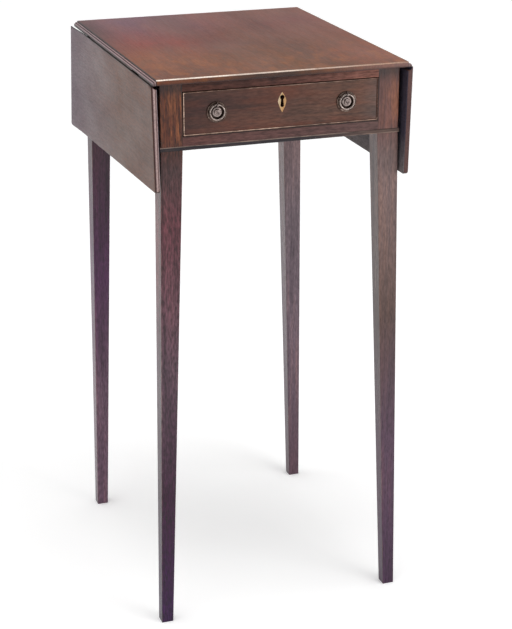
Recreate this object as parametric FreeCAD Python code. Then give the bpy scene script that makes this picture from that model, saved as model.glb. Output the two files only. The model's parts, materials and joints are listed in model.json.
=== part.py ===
import FreeCAD, Part
import math
import os

V = FreeCAD.Vector

# A small pembroke table. Millimetres, +Z up, origin on the floor under the middle of the top.
# The drawer faces -Y, and the flaps hang at -X and +X.

# Top and flaps
table_height = 711.0
board_thickness = 7.0
top_depth = 386.0
joint_span = 314.0          # between the two joint lines
rule_fillet = 1.8           # upright step at the joint line
axis_lift = 0.7             # hinge axis above the underside
rule_clearance = 0.4        # between the round of the top and the hollow of the flap
flap_reach = 133.3          # from joint line to free edge
flap_corner_radius = 4.0
arris_radius = 1.6          # softened edges of top and flaps
flap_rest_gap = 2.7         # free edge of a hanging flap to the legs

# Frame
leg_setback = 6.8           # joint line to the outer face of a leg
top_overhang = 11.0         # front and back edge of the top beyond the legs
leg_top = 27.0
leg_foot = 15.2
front_leg_splay = 11.6      # how far a front foot stands out sideways from the top of its leg
back_leg_splay = 7.6        # and a back foot
leg_splay_end = 3.0         # how far each foot stands out towards the front or the back
leg_arris = 0.8
frieze_height = 81.0
rail_depth = 19.0           # front and back rails, front to back
top_rail_height = 11.3
tenon_length = 10.0
tenon_shoulder = 3.0
tenon_wall = 1.5            # wood left between two tenons in one leg
frieze_bead_height = 5.0
frieze_bead_proud = 1.0
bead_nose_share = 0.42      # rounding of a bead's nose, as a share of its smaller side

# Fly rails and brackets
fly_recess = 4.0            # outer face of a fly rail behind the outer face of a leg
fly_thickness = 12.0
knuckle_count = 5
knuckle_gap = 0.4
fly_pin_radius = 2.0
bracket_length = 110.0      # knuckle pin to tip
back_block_length = 58.0    # fixed block between the bracket's tip and the back leg
bracket_gap = 1.0           # tip to the back block
bracket_top_gap = 0.4
finger_hollow_radius = 30.0
running_clearance = 0.05

# Table hinges
hinge_width = 30.0
hinge_inset = 75.0          # end of the joint to the middle of a hinge
leaf_thickness = 1.4
top_leaf_length = 28.0
flap_leaf_length = 44.0
hinge_knuckle_radius = 2.3
hinge_pin_radius = 1.0
hinge_play = 0.3
hinge_knuckle_count = 3

# Screws: radii of shank and head, lengths
hinge_screw_shank = 1.2
hinge_screw_head = 2.2
hinge_screw_length = 4.6
frame_screw_shank = 1.6
frame_screw_head = 3.0
kicker_screw_bite = 5.0
fly_screw_bite = 7.0
lock_screw_shank = 0.8
lock_screw_head = 1.6
lock_screw_length = 8.0
top_leaf_screw_shares = (0.4, 0.8)      # along a leaf, from its pin
flap_leaf_screw_shares = (0.4, 0.85)
kicker_screw_shares = (-0.75, 0, 0.75)  # along a kicker, from its middle to its ends
fly_screw_shares = (0.2, 0.8)           # along the front block of a fly rail
lock_screw_share = 1 / 3                # of the lock's height, above and below its middle

# Drawer
drawer_front_height = 52.0
drawer_front_thickness = 16.0
drawer_gap = 0.6            # around the drawer front
drawer_seat = 0.1           # drawer sides above the runners
drawer_side_thickness = 7.0
drawer_back_thickness = 7.0
drawer_back_drop = 6.0      # top of the back below the top of the sides
drawer_rear_gap = 14.0      # back of the drawer to the back rail
drawer_bottom_thickness = 4.5
drawer_bottom_lift = 6.0    # under the bottom board
groove_depth = 3.0
front_lap = 1.0             # wood between the dovetails and the beads' rebate
tail_count = 2
tail_base_share = 0.45      # of the spacing of the tails
tail_slope_share = 1 / 7
cock_bead_width = 1.8
cock_bead_depth = 4.0
cock_bead_proud = 1.0

# Drawer carriage
runner_width = 12.0
runner_height = 9.0
stop_width = 25.0
stop_height = 5.0
stop_thickness = 3.0
stop_gap = 0.2
stop_inset = 68.7           # side of the opening to the middle of a stop

# Lock and escutcheon
lock_width = 38.0
lock_height = 30.0
lock_depth = 8.0
lock_wall = 1.2
lock_ear = 5.0
selvage_thickness = 2.0
bolt_width = 14.0
bolt_thickness = 3.6
bolt_length = 12.5
bolt_shoulder = 2.5
bolt_shoulder_height = 4.0
bolt_throw = 5.0
bolt_clearance = 0.1
strike_clearance = 0.6
key_drop = 14.9             # top of the drawer front to the middle of the keyhole's round
keyhole_radius = 2.8
keyhole_foot = 11.9         # round middle to the foot of the keyhole
keyhole_waist_half = 1.5
keyhole_foot_half = 2.2     # where it flares at the foot
drill_pin_radius = 0.9
escutcheon_width = 10.6
escutcheon_upper = 10.9     # its widest line to its upper tip
escutcheon_lower = 13.7     # and to its lower tip
escutcheon_thickness = 2.0
escutcheon_drop = 4.6       # its widest line below the keyhole's round
escutcheon_bow = 0.9        # how far each of its four sides swells

# Ring handles
handle_inset = 41.1         # end of the drawer front to the middle of a handle
plate_radius = 12.4
plate_thickness = 1.0
rim_width = 1.0
rim_height = 0.8
boss_radius = 6.0
boss_height = 1.8
button_radius = 4.2
button_height = 3.2
dimple_radius = 1.8
dimple_depth = 0.8
ring_radius = 8.9           # to the middle of the wire
ring_wire_radius = 1.1
ring_stand = 3.3            # middle of the wire off the wood
eye_radius = 2.2
eye_length = 2.8
eye_clearance = 0.25
shank_radius = 2.0
nut_radius = 4.5
nut_thickness = 3.0

overrun = 5.0               # how far a cutting shape runs past the wood
edge_tolerance = 0.05       # within which an edge counts as lying on a plane

# Places worked out from the sizes above
half_depth = top_depth / 2
axis_x = joint_span / 2
underside = table_height - board_thickness
axis_z = underside + axis_lift
rule_radius = table_height - rule_fillet - axis_z
half_width = axis_x - leg_setback
frame_y = half_depth - top_overhang
inner_x = half_width - leg_top
inner_y = frame_y - leg_top
frieze_low = underside - frieze_height
opening_high = underside - top_rail_height
front_high = opening_high - drawer_gap
front_low = front_high - drawer_front_height
opening_low = front_low - drawer_gap
right_angle = 90.0
flap_edge_z = axis_z - flap_reach
widest_splay = max(front_leg_splay, back_leg_splay)
leg_at_flap_edge = half_width + widest_splay * (frieze_low - flap_edge_z) / frieze_low
flap_lean = math.degrees(math.asin((axis_x - axis_lift - leg_at_flap_edge - flap_rest_gap) / flap_reach))
hinge_offset = half_depth - hinge_inset
hinge_places = (-hinge_offset, hinge_offset)
side_axis = V(1, 0, 0)
depth_axis = V(0, 1, 0)
up_axis = V(0, 0, 1)


def box(low, high):
    """A block between two opposite corners."""
    size = high - low
    return Part.makeBox(size.x, size.y, size.z, low)


def rod(radius, start, end):
    """A round bar between two points."""
    return Part.makeCylinder(radius, (end - start).Length, start, end - start)


def prism(points, travel):
    """A closed outline pushed along a straight line."""
    return Part.Face(Part.makePolygon(points + points[:1])).extrude(travel)


def screw(head, direction, shank_radius_here, head_radius, length):
    """A countersunk wood screw with the flat of its head at the given point."""
    sink = head_radius - shank_radius_here
    cone = Part.makeCone(head_radius, shank_radius_here, sink, head, direction)
    shank = Part.makeCylinder(shank_radius_here, length - sink, head + direction * sink, direction)
    return cone.fuse(shank)


def flipped_x(shape):
    """The same piece on the other flap's side."""
    return shape.mirror(V(), side_axis)


def flipped_y(shape):
    """The same piece at the other end of the table."""
    return shape.mirror(V(), depth_axis)


def rounded(shape, radius, chosen):
    """The shape with its chosen edges rounded."""
    return shape.makeFillet(radius, [edge for edge in shape.Edges if chosen(edge)])


def edge_within(edge, axis, value):
    """Whether an edge lies wholly at one value of x, y or z."""
    return all(math.isclose(getattr(point, axis), value, abs_tol=edge_tolerance)
               for point in edge.discretize(3))


def save(node, shapes):
    """Writes one node: its solid, or its group of solids."""
    solids = [solid for shape in shapes for solid in shape.Solids]
    whole = solids[0] if len(solids) == 1 else Part.makeCompound(solids)
    whole.exportStep("parts/" + node + ".step")


def save_pair(node, shapes):
    """Writes a right-hand piece and its left-hand mirror image."""
    save("right_" + node, shapes)
    save("left_" + node, [flipped_x(shape) for shape in shapes])


def hung(shape):
    """A piece of the right flap, turned from raised to hanging."""
    turned = shape.copy()
    turned.rotate(V(axis_x, 0, axis_z), depth_axis, right_angle + flap_lean)
    return turned


# Table hinges, built on the right with the flap raised

def hinge_knuckles(middle, first):
    """The knuckles of one leaf: every second slice of the hinge, starting at the slice first."""
    slice_width = hinge_width / hinge_knuckle_count
    spans = []
    for index in range(first, hinge_knuckle_count, 2):
        low = middle - hinge_width / 2 + index * slice_width
        spans.append((low, low + slice_width))
    return spans


def hinge_leaf(middle, first, reach):
    """One leaf with its knuckles; reach is its length, towards -X where it is negative."""
    ends = sorted((axis_x, axis_x + reach))
    leaf = box(V(ends[0], middle - hinge_width / 2, underside),
               V(ends[1], middle + hinge_width / 2, underside + leaf_thickness))
    for low, high in hinge_knuckles(middle, 1 - first):
        leaf = leaf.cut(rod(hinge_knuckle_radius + hinge_play, V(axis_x, low - hinge_play, axis_z),
                            V(axis_x, high + hinge_play, axis_z)))
    for low, high in hinge_knuckles(middle, first):
        start = low if low <= middle - hinge_width / 2 else low + hinge_play
        end = high if high >= middle + hinge_width / 2 else high - hinge_play
        leaf = leaf.fuse(rod(hinge_knuckle_radius, V(axis_x, start, axis_z), V(axis_x, end, axis_z)))
    bore = hinge_pin_radius + running_clearance * first
    return leaf.cut(rod(bore, V(axis_x, middle - hinge_width, axis_z),
                        V(axis_x, middle + hinge_width, axis_z)))


def hinge_pin(middle):
    """The pin through one hinge."""
    return rod(hinge_pin_radius, V(axis_x, middle - hinge_width / 2, axis_z),
               V(axis_x, middle + hinge_width / 2, axis_z))


def leaf_screws(middle, reach, along_shares):
    """Two rows of screws through one leaf, up into the wood above it."""
    across = hinge_width / 2 - 2 * hinge_screw_head
    return [screw(V(axis_x + reach * share, middle + side * across, underside), up_axis,
                  hinge_screw_shank, hinge_screw_head, hinge_screw_length)
            for share in along_shares for side in (-1, 1)]


def top_leaf_screws():
    """The screws that hold the right-hand hinges to the top."""
    return [piece for middle in hinge_places
            for piece in leaf_screws(middle, -top_leaf_length, top_leaf_screw_shares)]


def flap_leaf_screws():
    """The screws that hold the right-hand hinges to the flap, with the flap raised."""
    return [piece for middle in hinge_places
            for piece in leaf_screws(middle, flap_leaf_length, flap_leaf_screw_shares)]


def top_hinge_room(middle):
    """What one hinge takes out of the top: its leaf, its knuckles and the way of the other leaf."""
    low_y = middle - hinge_width / 2
    high_y = middle + hinge_width / 2
    leaf = box(V(axis_x - top_leaf_length, low_y, underside), V(axis_x, high_y, underside + leaf_thickness))
    knuckles = rod(hinge_knuckle_radius + hinge_play, V(axis_x, low_y - hinge_play, axis_z),
                   V(axis_x, high_y + hinge_play, axis_z))
    passage_high = underside + leaf_thickness + hinge_play
    passage = box(V(axis_x, low_y - hinge_play, underside - overrun),
                  V(axis_x + rule_radius + overrun, high_y + hinge_play, passage_high))
    return [leaf, knuckles, passage]


# Top and flaps

def softened_board(low_x, high_x, corner_edges):
    """A board of the top's thickness and depth with soft edges, and round corners where asked."""
    board = box(V(low_x, -half_depth, underside), V(high_x, half_depth, table_height))
    soft = min(arris_radius, board_thickness * bead_nose_share)
    if corner_edges:
        board = rounded(board, flap_corner_radius,
                        lambda edge: edge_within(edge, "x", high_x) and not edge_within(edge, "z", underside)
                        and not edge_within(edge, "z", table_height))
    level = [edge for edge in board.Edges
             if edge_within(edge, "z", underside) or edge_within(edge, "z", table_height)]
    joint_sides = (low_x,) if corner_edges else (low_x, high_x)
    soft_edges = [edge for edge in level if not any(edge_within(edge, "x", side) for side in joint_sides)]
    return board.makeFillet(soft, soft_edges)


def rule_round(side):
    """The waste outside the quarter round of the rule joint, on one side of the top."""
    step = box(V(axis_x, -half_depth - overrun, axis_z),
               V(axis_x + rule_radius + overrun, half_depth + overrun, table_height + overrun))
    step = step.cut(rod(rule_radius, V(axis_x, -half_depth - overrun, axis_z),
                        V(axis_x, half_depth + overrun, axis_z)))
    return step if side > 0 else flipped_x(step)


def kicker_screws():
    """The screws up through the right-hand kicker into the top."""
    middle = inner_x - runner_width / 2
    reach = frame_y - rail_depth
    return [screw(V(middle, reach * share, opening_high), up_axis, frame_screw_shank, frame_screw_head,
                  top_rail_height + kicker_screw_bite) for share in kicker_screw_shares]


def top_board():
    """The fixed board, with a rule-joint round along both sides."""
    reach = axis_x + rule_radius
    board = softened_board(-reach, reach, False)
    board = board.cut([rule_round(1), rule_round(-1)])
    waste = [piece for middle in hinge_places for piece in top_hinge_room(middle)]
    waste += top_leaf_screws() + kicker_screws()
    return board.cut(waste + [flipped_x(piece) for piece in waste])


def flap():
    """The right flap, raised: a board with a hollow that turns round the top's quarter round."""
    board = softened_board(axis_x + rule_clearance, axis_x + flap_reach, True)
    hollow_radius = rule_radius + rule_clearance
    hollow = rod(hollow_radius, V(axis_x, -half_depth - overrun, axis_z),
                 V(axis_x, half_depth + overrun, axis_z))
    below = box(V(axis_x - overrun, -half_depth - overrun, underside - overrun),
                V(axis_x + hollow_radius, half_depth + overrun, axis_z))
    leaves = [box(V(axis_x, middle - hinge_width / 2, underside),
                  V(axis_x + flap_leaf_length, middle + hinge_width / 2, underside + leaf_thickness))
              for middle in hinge_places]
    return board.cut([hollow, below] + leaves + flap_leaf_screws())


# Frame

def leg_section(corner, size):
    """The outline of a leg at one level: a square with softened corners, from its outer front corner inwards."""
    corners = [corner, corner + V(0, size, 0), corner + V(-size, size, 0), corner + V(-size, 0, 0)]
    rounds = []
    for index, point in enumerate(corners):
        before = (corners[index - 1] - point).normalize() * leg_arris
        after = (corners[(index + 1) % len(corners)] - point).normalize() * leg_arris
        middle = point + (before + after) * (1 - math.sqrt(0.5))
        rounds.append(Part.Arc(point + before, middle, point + after))
    edges = []
    for this, following in zip(rounds, rounds[1:] + rounds[:1]):
        edges += [this.toShape(), Part.LineSegment(this.EndPoint, following.StartPoint).toShape()]
    return Part.Wire(edges)


def leg_blank(splay_side):
    """A leg at the front right: a square block at the frieze, then a taper that splays to its foot."""
    corner = V(half_width, -frame_y, 0)
    splay = V(splay_side, -leg_splay_end, 0)
    block = box(V(inner_x, -frame_y, frieze_low), V(half_width, -inner_y, underside))
    block = rounded(block, leg_arris, lambda edge: edge_within(edge, "x", half_width)
                    and edge_within(edge, "y", -frame_y))
    foot = leg_section(corner + splay, leg_foot)
    shoulder = leg_section(corner + up_axis * frieze_low, leg_top)
    return block.fuse(Part.makeLoft([foot, shoulder], True, True))


def rail_across(low_z, high_z):
    """A rail between the two front legs, with a tenon at each end."""
    body = box(V(-inner_x, -frame_y, low_z), V(inner_x, -frame_y + rail_depth, high_z))
    tenons = box(V(-inner_x - tenon_length, -frame_y + tenon_shoulder, low_z + tenon_shoulder),
                 V(inner_x + tenon_length, -frame_y + rail_depth - tenon_shoulder, high_z - tenon_shoulder))
    return body.fuse(tenons)


def side_rail():
    """The right rail between a front and a back leg, behind the fly rail."""
    outer = half_width - fly_recess - fly_thickness
    length = leg_top - rail_depth + tenon_shoulder - tenon_wall
    body = box(V(inner_x, -inner_y, frieze_low), V(outer, inner_y, underside))
    tenons = box(V(inner_x + tenon_shoulder, -inner_y - length, frieze_low + tenon_shoulder),
                 V(outer - tenon_shoulder, inner_y + length, underside - tenon_shoulder))
    return body.fuse(tenons)


def frieze_bead():
    """The dark bead along the foot of the front frieze, returned round the legs."""
    wide = half_width + frieze_bead_proud
    front = -frame_y - frieze_bead_proud
    outline = [V(-wide, front, frieze_low), V(wide, front, frieze_low), V(wide, -inner_y, frieze_low),
               V(half_width, -inner_y, frieze_low), V(half_width, -frame_y, frieze_low),
               V(-half_width, -frame_y, frieze_low), V(-half_width, -inner_y, frieze_low),
               V(-wide, -inner_y, frieze_low)]
    bead = prism(outline, up_axis * frieze_bead_height)
    nose = bead_nose_share * min(frieze_bead_height, 2 * frieze_bead_proud)
    levels = (frieze_low, frieze_low + frieze_bead_height)
    return rounded(bead, nose, lambda edge: any(edge_within(edge, "z", level) for level in levels)
                   and (edge_within(edge, "y", front) or edge_within(edge, "x", wide)
                        or edge_within(edge, "x", -wide)))


def front_top_rail():
    """The rail above the drawer, with a mortise for the lock's bolt."""
    rail = rail_across(opening_high, underside)
    half = bolt_width / 2 + strike_clearance
    middle = bolt_middle()
    reach = bolt_thickness / 2 + strike_clearance
    mortise = box(V(-half, middle - reach, opening_high),
                  V(half, middle + reach, front_high + bolt_throw + strike_clearance))
    return rail.cut(mortise)


def back_rail():
    """The back rail, with grooves for a sham drawer's beads and holes for its handles."""
    rail = rail_across(frieze_low, underside)
    waste = cock_beads() + [handle_shank(side, rail_depth) for side in (-1, 1)]
    return flipped_y(rail.cut(waste))


# Fly rails

knuckle_x = half_width - fly_recess - fly_thickness / 2
bracket_tip = inner_y - back_block_length - bracket_gap
knuckle_y = bracket_tip - bracket_length
fly_inner = half_width - fly_recess - fly_thickness
fly_outer = half_width - fly_recess


def knuckle_rod(radius, low_z, high_z):
    """A round bar on the knuckle's axis."""
    return rod(radius, V(knuckle_x, knuckle_y, low_z), V(knuckle_x, knuckle_y, high_z))


def knuckle_relief(first):
    """Room for the other piece's knuckles: every second level, starting at the level first."""
    relief_radius = math.hypot(fly_thickness / 2, fly_thickness / 2) + knuckle_gap
    level = frieze_height / knuckle_count
    room = []
    for index in range(first, knuckle_count, 2):
        low = frieze_low + index * level - knuckle_gap / 2
        room.append(knuckle_rod(relief_radius, low, low + level + knuckle_gap))
    return room


def fly_screws():
    """The screws that hold the right fly rail's two blocks to the side rail."""
    front_run = knuckle_y - fly_thickness + inner_y
    back_start = bracket_tip + bracket_gap
    places = [-inner_y + front_run * share for share in fly_screw_shares]
    places.append((back_start + inner_y) / 2)
    return [screw(V(fly_outer, place, frieze_low + frieze_height / 2), -side_axis, frame_screw_shank,
                  frame_screw_head, fly_thickness + fly_screw_bite) for place in places]


def fly_front_block():
    """The fixed front part of the right fly rail, ending in its knuckles."""
    block = box(V(fly_inner, -inner_y, frieze_low), V(fly_outer, knuckle_y, underside))
    block = block.fuse(knuckle_rod(fly_thickness / 2, frieze_low, underside))
    return block.cut(knuckle_relief(1) + [knuckle_rod(fly_pin_radius, frieze_low, underside)] + fly_screws())


def fly_back_block():
    """The fixed back part of the right fly rail."""
    block = box(V(fly_inner, bracket_tip + bracket_gap, frieze_low), V(fly_outer, inner_y, underside))
    return block.cut(fly_screws())


def fly_bracket():
    """The swinging bracket, hollowed under its tip for the fingers."""
    top = underside - bracket_top_gap
    plate = box(V(fly_inner + knuckle_gap, knuckle_y, frieze_low), V(fly_outer, bracket_tip, top))
    plate = plate.fuse(knuckle_rod(fly_thickness / 2 - knuckle_gap, frieze_low, top))
    hollow = rod(finger_hollow_radius, V(fly_inner - overrun, bracket_tip, frieze_low),
                 V(fly_outer + overrun, bracket_tip, frieze_low))
    bore = knuckle_rod(fly_pin_radius + running_clearance, frieze_low, underside)
    return plate.cut(knuckle_relief(0) + [hollow, bore])


# Drawer carriage

def carriage_strip(low_z, high_z):
    """A strip along the right side rail, from the front rails to the back rail."""
    reach = frame_y - rail_depth
    return box(V(inner_x - runner_width, -reach, low_z), V(inner_x, reach, high_z))


def drawer_stops():
    """Two small blocks on the lower front rail that the drawer front meets."""
    start = -frame_y + drawer_front_thickness + stop_gap
    half = stop_width / 2
    end = start + stop_thickness
    offset = inner_x - stop_inset
    return [box(V(place - half, start, opening_low), V(place + half, end, opening_low + stop_height))
            for place in (-offset, offset)]


# Drawer

drawer_half = inner_x - drawer_gap
drawer_inner = drawer_half - drawer_side_thickness
side_low = opening_low + drawer_seat
side_high = side_low + drawer_front_height
front_back_y = -frame_y + drawer_front_thickness
drawer_rear = frame_y - rail_depth - drawer_rear_gap
board_low = side_low + drawer_bottom_lift
board_high = board_low + drawer_bottom_thickness
back_high = side_high - drawer_back_drop


def dovetails(base_y, length, low_z, high_z):
    """The tails on one end of the right drawer side; length is negative towards the front."""
    pitch = (high_z - low_z) / tail_count
    half_base = pitch * tail_base_share / 2
    half_tip = half_base + abs(length) * tail_slope_share
    tails = []
    for index in range(tail_count):
        middle = low_z + pitch * (index + 1 / 2)
        outline = [V(drawer_inner, base_y, middle - half_base),
                   V(drawer_inner, base_y + length, middle - half_tip),
                   V(drawer_inner, base_y + length, middle + half_tip),
                   V(drawer_inner, base_y, middle + half_base)]
        tails.append(prism(outline, side_axis * drawer_side_thickness))
    return tails


def front_tails():
    """The lapped tails that a drawer side sends into the drawer front."""
    inset = cock_bead_width
    length = drawer_front_thickness - cock_bead_depth - front_lap
    return dovetails(front_back_y, -length, front_low + inset, front_high - inset)


def drawer_back():
    """The drawer back, standing on the bottom board between the tails of the sides."""
    back = box(V(-drawer_half, drawer_rear - drawer_back_thickness, board_high),
               V(drawer_half, drawer_rear, back_high))
    tails = dovetails(drawer_rear - drawer_back_thickness, drawer_back_thickness, board_high, back_high)
    return back.cut(tails + [flipped_x(tail) for tail in tails])


def drawer_bottom():
    """The thin bottom board, grooved into the sides and the front."""
    reach = drawer_inner + groove_depth
    return box(V(-reach, front_back_y - groove_depth, board_low), V(reach, drawer_rear, board_high))


def drawer_side():
    """The right drawer side with its tails."""
    side = box(V(drawer_inner, front_back_y, side_low), V(drawer_half, drawer_rear, side_high))
    side = side.fuse(front_tails())
    return side.cut([drawer_back(), drawer_bottom()])


def cock_beads():
    """Four mitred strips round the drawer front, with rounded noses."""
    front = -frame_y - cock_bead_proud
    corners = [(-1, front_low, 1), (1, front_low, 1), (1, front_high, -1), (-1, front_high, -1)]
    outer = [V(side * drawer_half, front, level) for side, level, inward in corners]
    inner = [V(side * (drawer_half - cock_bead_width), front, level + inward * cock_bead_width)
             for side, level, inward in corners]
    nose = bead_nose_share * cock_bead_width
    beads = []
    for index in range(len(corners)):
        after = (index + 1) % len(corners)
        strip = prism([outer[index], outer[after], inner[after], inner[index]],
                      depth_axis * (cock_bead_proud + cock_bead_depth))
        shortest = 2 * cock_bead_width
        beads.append(rounded(strip, nose, lambda edge: edge_within(edge, "y", front)
                             and edge.Length > shortest))
    return beads


def drawer_front():
    """The drawer front: rebated for its beads, socketed for the sides, cut for lock and handles."""
    front = box(V(-drawer_half, -frame_y, front_low), V(drawer_half, front_back_y, front_high))
    tails = front_tails()
    waste = cock_beads() + tails + [flipped_x(tail) for tail in tails]
    waste += [drawer_bottom(), escutcheon_blank(), keyhole(), lock_room()] + lock_screws()
    waste += [handle_shank(side, drawer_front_thickness) for side in (-1, 1)]
    return front.cut(waste)


# Lock and escutcheon

key_z = front_high - key_drop
lock_back = front_back_y
lock_front = lock_back - lock_depth
plate_front = lock_back - lock_wall
lock_low = front_high - lock_height


def bolt_middle():
    """The middle of the bolt, front to back."""
    return (lock_front + lock_wall + plate_front) / 2


def keyhole():
    """A round with a flared slot below it, right through the drawer front and the cap of the lock."""
    start = -frame_y - overrun
    deep = depth_axis * (lock_front + lock_wall - start)
    middle = V(0, start, key_z)
    waist_z = key_z - keyhole_radius
    foot_z = key_z - keyhole_foot + keyhole_foot_half
    slot = prism([V(-keyhole_waist_half, start, key_z), V(-keyhole_waist_half, start, waist_z),
                  V(-keyhole_foot_half, start, foot_z), V(keyhole_foot_half, start, foot_z),
                  V(keyhole_waist_half, start, waist_z), V(keyhole_waist_half, start, key_z)], deep)
    foot = rod(keyhole_foot_half, V(0, start, foot_z), V(0, start, foot_z) + deep)
    return rod(keyhole_radius, middle, middle + deep).fuse([slot, foot])


def escutcheon_blank():
    """The lozenge inlay with four slightly bowed sides, before its keyhole is cut."""
    middle = V(0, -frame_y, key_z - escutcheon_drop)
    side = V(escutcheon_width / 2, 0, 0)
    corners = [V(0, 0, escutcheon_upper), side, V(0, 0, -escutcheon_lower), -side]
    edges = []
    for start, end in zip(corners, corners[1:] + corners[:1]):
        outward = (start + end).normalize() * escutcheon_bow
        edges.append(Part.Arc(middle + start, middle + (start + end) / 2 + outward, middle + end).toShape())
    return Part.Face(Part.Wire(edges)).extrude(depth_axis * escutcheon_thickness)


def lock_room():
    """The space that the lock takes out of the drawer front."""
    half = lock_width / 2
    body = box(V(-half, lock_front, lock_low), V(half, lock_back, front_high))
    ears = box(V(-half - lock_ear, plate_front, lock_low), V(half + lock_ear, lock_back, front_high))
    return body.fuse(ears)


def lock_screws():
    """Four screws through the ears of the lock."""
    across = (lock_width + lock_ear) / 2
    middle = (lock_low + front_high) / 2
    spread = lock_height * lock_screw_share
    return [screw(V(side * across, lock_back, middle + rise * spread), -depth_axis, lock_screw_shank,
                  lock_screw_head, lock_screw_length) for side in (-1, 1) for rise in (-1, 1)]


def lock_hollow():
    """The inside of the lock case, open to the front."""
    half = lock_width / 2 - lock_wall
    return box(V(-half, lock_front, lock_low + lock_wall),
               V(half, plate_front, front_high - selvage_thickness))


def bolt_slot():
    """The bolt's way out through the selvage."""
    half = bolt_width / 2 + bolt_clearance
    reach = bolt_thickness / 2 + bolt_clearance
    return box(V(-half, bolt_middle() - reach, front_high - selvage_thickness),
               V(half, bolt_middle() + reach, front_high))


def lock_case():
    """The lock's plate, walls and selvage, with the pin that the key turns on."""
    case = lock_room().cut([lock_hollow(), bolt_slot()] + lock_screws())
    pin = rod(drill_pin_radius, V(0, plate_front, key_z), V(0, lock_front + lock_wall, key_z))
    return case.fuse(pin)


def lock_cap():
    """The cover over the lock's works."""
    half = lock_width / 2 - lock_wall
    cap = box(V(-half, lock_front, lock_low + lock_wall),
              V(half, lock_front + lock_wall, front_high - selvage_thickness))
    return cap.cut(keyhole())


def lock_bolt():
    """The bolt, drawn back, with the shoulders that keep it in its case."""
    half = bolt_width / 2
    reach = bolt_thickness / 2
    low = front_high - bolt_length
    shaft = box(V(-half, bolt_middle() - reach, low), V(half, bolt_middle() + reach, front_high))
    shoulders = box(V(-half - bolt_shoulder, bolt_middle() - reach, low),
                    V(half + bolt_shoulder, bolt_middle() + reach, low + bolt_shoulder_height))
    return shaft.fuse(shoulders)


# Ring handles, on the drawer front

handle_z = (front_low + front_high) / 2
handle_offset = drawer_half - handle_inset


def handle_middle(side):
    """The middle of a handle's plate, on the face of the drawer front."""
    return V(side * handle_offset, -frame_y, handle_z)


def eye_middle(side):
    """The point that a handle's ring turns about."""
    return handle_middle(side) + V(0, -ring_stand, ring_radius)


def turned(middle, profile):
    """A round piece: points of radius and height, turned about the line out of the drawer front."""
    points = [middle + V(radius, -height, 0) for radius, height in profile]
    face = Part.Face(Part.makePolygon(points + points[:1]))
    return face.revolve(middle, depth_axis, 4 * right_angle)


def handle_shank(side, thickness):
    """The threaded shank of a handle, through wood of the given thickness and its nut."""
    start = handle_middle(side)
    return rod(shank_radius, start, start + depth_axis * (thickness + nut_thickness))


def eye_rod(side, radius, half_length):
    """A round bar across the eye of a handle."""
    middle = eye_middle(side)
    return rod(radius, middle - side_axis * half_length, middle + side_axis * half_length)


def handle_plate(side, thickness):
    """The stepped round plate with its eye and its shank."""
    floor = plate_thickness
    rim = plate_radius - rim_width
    profile = [(0, 0), (plate_radius, 0), (plate_radius, floor),
               (plate_radius - rim_width / 2, floor + rim_height), (rim, floor),
               (boss_radius, floor), (boss_radius, floor + boss_height),
               (button_radius, floor + boss_height), (button_radius - dimple_depth, floor + button_height),
               (dimple_radius, floor + button_height), (0, floor + button_height - dimple_depth)]
    plate = turned(handle_middle(side), profile)
    eye = eye_rod(side, eye_radius, eye_length / 2)
    neck_start = eye_middle(side) + V(-eye_length / 2, 0, -eye_radius)
    neck = box(neck_start, neck_start + V(eye_length, ring_stand, 2 * eye_radius))
    plate = plate.fuse([eye, neck, handle_shank(side, thickness)])
    return plate.cut(eye_rod(side, ring_wire_radius + eye_clearance, eye_length))


def handle_ring(side):
    """The ring, hanging from the eye."""
    middle = handle_middle(side) + V(0, -ring_stand, 0)
    return Part.makeTorus(ring_radius, ring_wire_radius, middle, depth_axis)


def handle_nut(side, thickness):
    """The round nut that draws a handle tight from behind."""
    start = handle_middle(side) + depth_axis * thickness
    return rod(nut_radius, start, start + depth_axis * nut_thickness).cut(handle_shank(side, thickness))


# Writing the nodes

os.makedirs("parts", exist_ok=True)

save("top_board", [top_board()])
save_pair("flap", [hung(flap())])
save_pair("hinge_top_leaves", [hinge_leaf(middle, 0, -top_leaf_length).cut(top_leaf_screws())
                               for middle in hinge_places])
save_pair("hinge_flap_leaves", [hung(hinge_leaf(middle, 1, flap_leaf_length).cut(flap_leaf_screws()))
                                for middle in hinge_places])
save_pair("flap_screws", [hung(piece) for piece in flap_leaf_screws()])

hinge_pins = [hinge_pin(middle) for middle in hinge_places]
save("hinge_pins", hinge_pins + [flipped_x(pin) for pin in hinge_pins])
save("top_hinge_screws", top_leaf_screws() + [flipped_x(piece) for piece in top_leaf_screws()])

upper_rail = front_top_rail()
lower_rail = rail_across(frieze_low, opening_low)
rear_rail = back_rail()
right_rail = side_rail()
front_leg = leg_blank(front_leg_splay).cut([upper_rail, lower_rail, right_rail])
back_leg = flipped_y(leg_blank(back_leg_splay)).cut([rear_rail, right_rail])
save("front_right_leg", [front_leg])
save("front_left_leg", [flipped_x(front_leg)])
save("back_right_leg", [back_leg])
save("back_left_leg", [flipped_x(back_leg)])
save("front_top_rail", [upper_rail])
save("front_bottom_rail", [lower_rail])
save("back_rail", [rear_rail])
save_pair("side_rail", [right_rail.cut(fly_screws())])
save("front_frieze_bead", [frieze_bead()])
save("back_frieze_bead", [flipped_y(frieze_bead())])
save("sham_cock_beads", [flipped_y(bead) for bead in cock_beads()])

save_pair("fly_front_block", [fly_front_block()])
save_pair("fly_back_block", [fly_back_block()])
save_pair("fly_bracket", [fly_bracket()])
fly_pin = knuckle_rod(fly_pin_radius, frieze_low, underside)
save("fly_pins", [fly_pin, flipped_x(fly_pin)])
save("fly_screws", fly_screws() + [flipped_x(piece) for piece in fly_screws()])

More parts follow.
